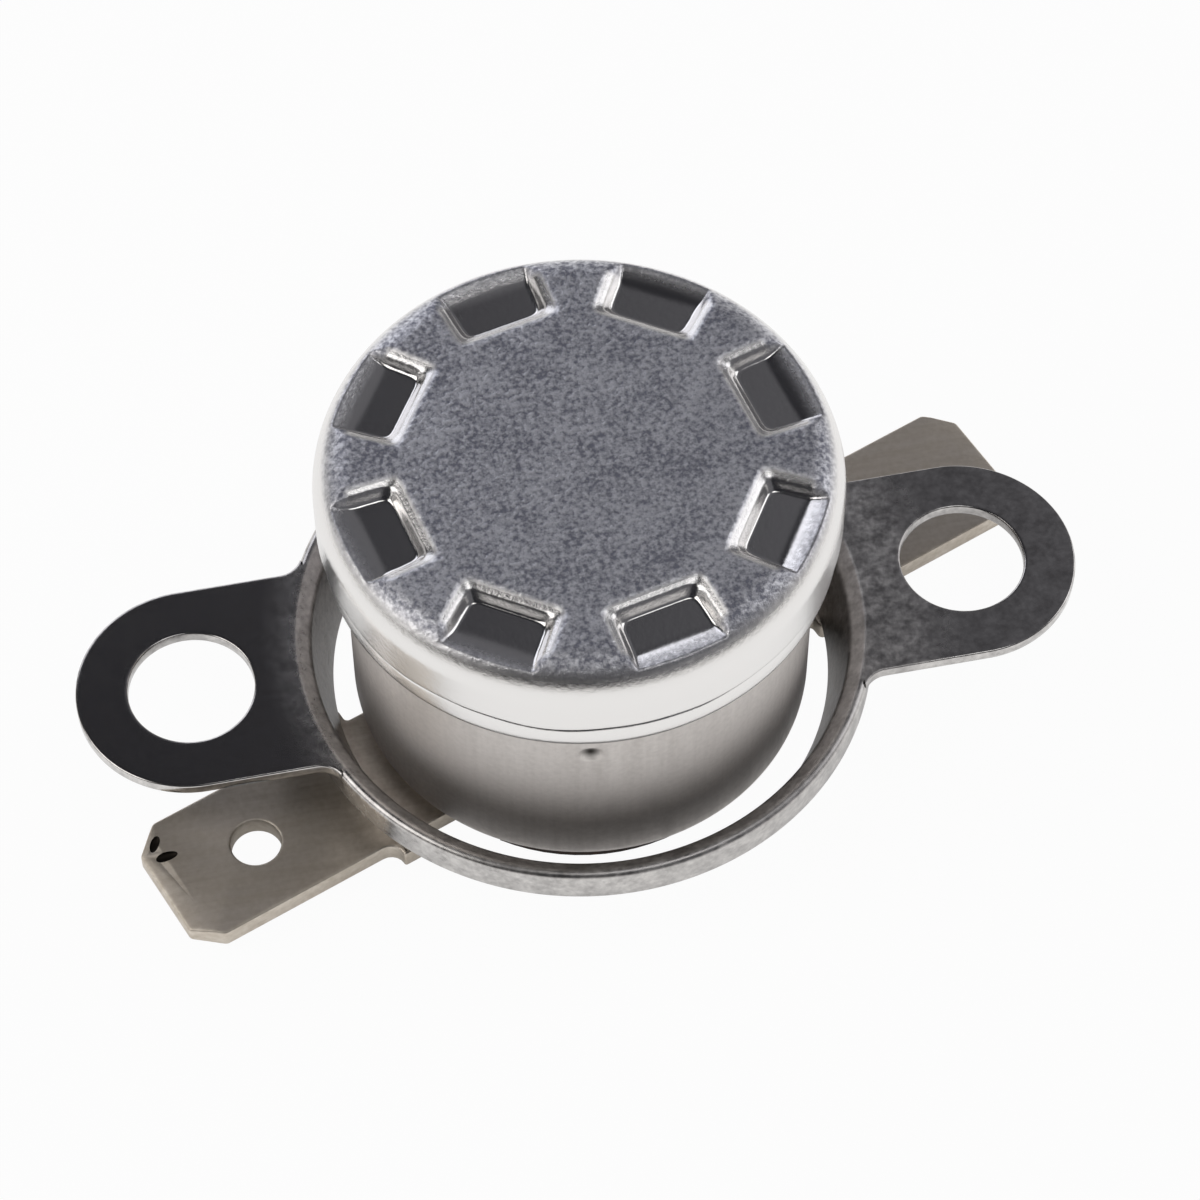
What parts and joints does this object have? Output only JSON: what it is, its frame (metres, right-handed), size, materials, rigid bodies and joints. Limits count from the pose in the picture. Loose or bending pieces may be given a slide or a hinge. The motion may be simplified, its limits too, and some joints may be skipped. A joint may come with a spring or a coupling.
{
  "type": "bimetal thermostat",
  "caption": "Snap-disc thermostat: round metal case with a pocketed sensing cap, flat push-on tabs under it and a loose swivelling bracket with round-ended ears.",
  "frame": {"origin": "centre of the case's axis at the level of the base's feet", "axes": "+Z along the case's axis to the sensing face, X along the bracket's two ears"},
  "size_m": [0.031, 0.018, 0.0127],
  "materials": {
    "cap_aluminium": "drawn and stamped, bright",
    "sleeve_aluminium": "drawn, satin",
    "bimetal": "rolled",
    "phenolic": "moulded",
    "ceramic": "fired, unglazed",
    "spring_bronze": "rolled spring strip",
    "silver": "headed contact metal",
    "bare_brass": "bright",
    "plated_brass": "tin plated, satin",
    "plated_steel": "nickel plated, bright"
  },
  "bodies": {
    "case": {"sensing_cap": "cap_aluminium", "case_sleeve": "sleeve_aluminium", "bimetal_disc": "bimetal", "guide_plate": "phenolic", "moulded_base": "phenolic", "contact_spring": "spring_bronze", "fixed_strip": "bare_brass", "fixed_contact": "silver", "spring_terminal": "plated_brass", "fixed_terminal": "plated_brass", "spring_rivet": "bare_brass", "fixed_rivet": "bare_brass"},
    "bracket": {"mounting_bracket": "plated_steel"},
    "pin": {"push_pin": "ceramic"},
    "contact": {"moving_contact": "silver"}
  },
  "joints": [
    {"name": "bracket_swivel", "type": "hinge", "parent": "case", "child": "bracket", "pos_m": [0, 0, 0.00393], "axis": [0, 0, 1], "continuous": true},
    {"name": "pin_travel", "type": "slide", "parent": "case", "child": "pin", "axis": [0, 0, -1], "range_m": [0, 0.0004], "stiffness_N_per_m": 60, "springref_m": -0.001, "deforming": ["bimetal_disc", "contact_spring"]},
    {"name": "contact_travel", "type": "slide", "parent": "case", "child": "contact", "axis": [0, 0, -1], "range_m": [0, 0.0008]}
  ],
  "couplings": [
    {"joint": "contact_travel", "follows": "pin_travel", "ratio": 2}
  ]
}
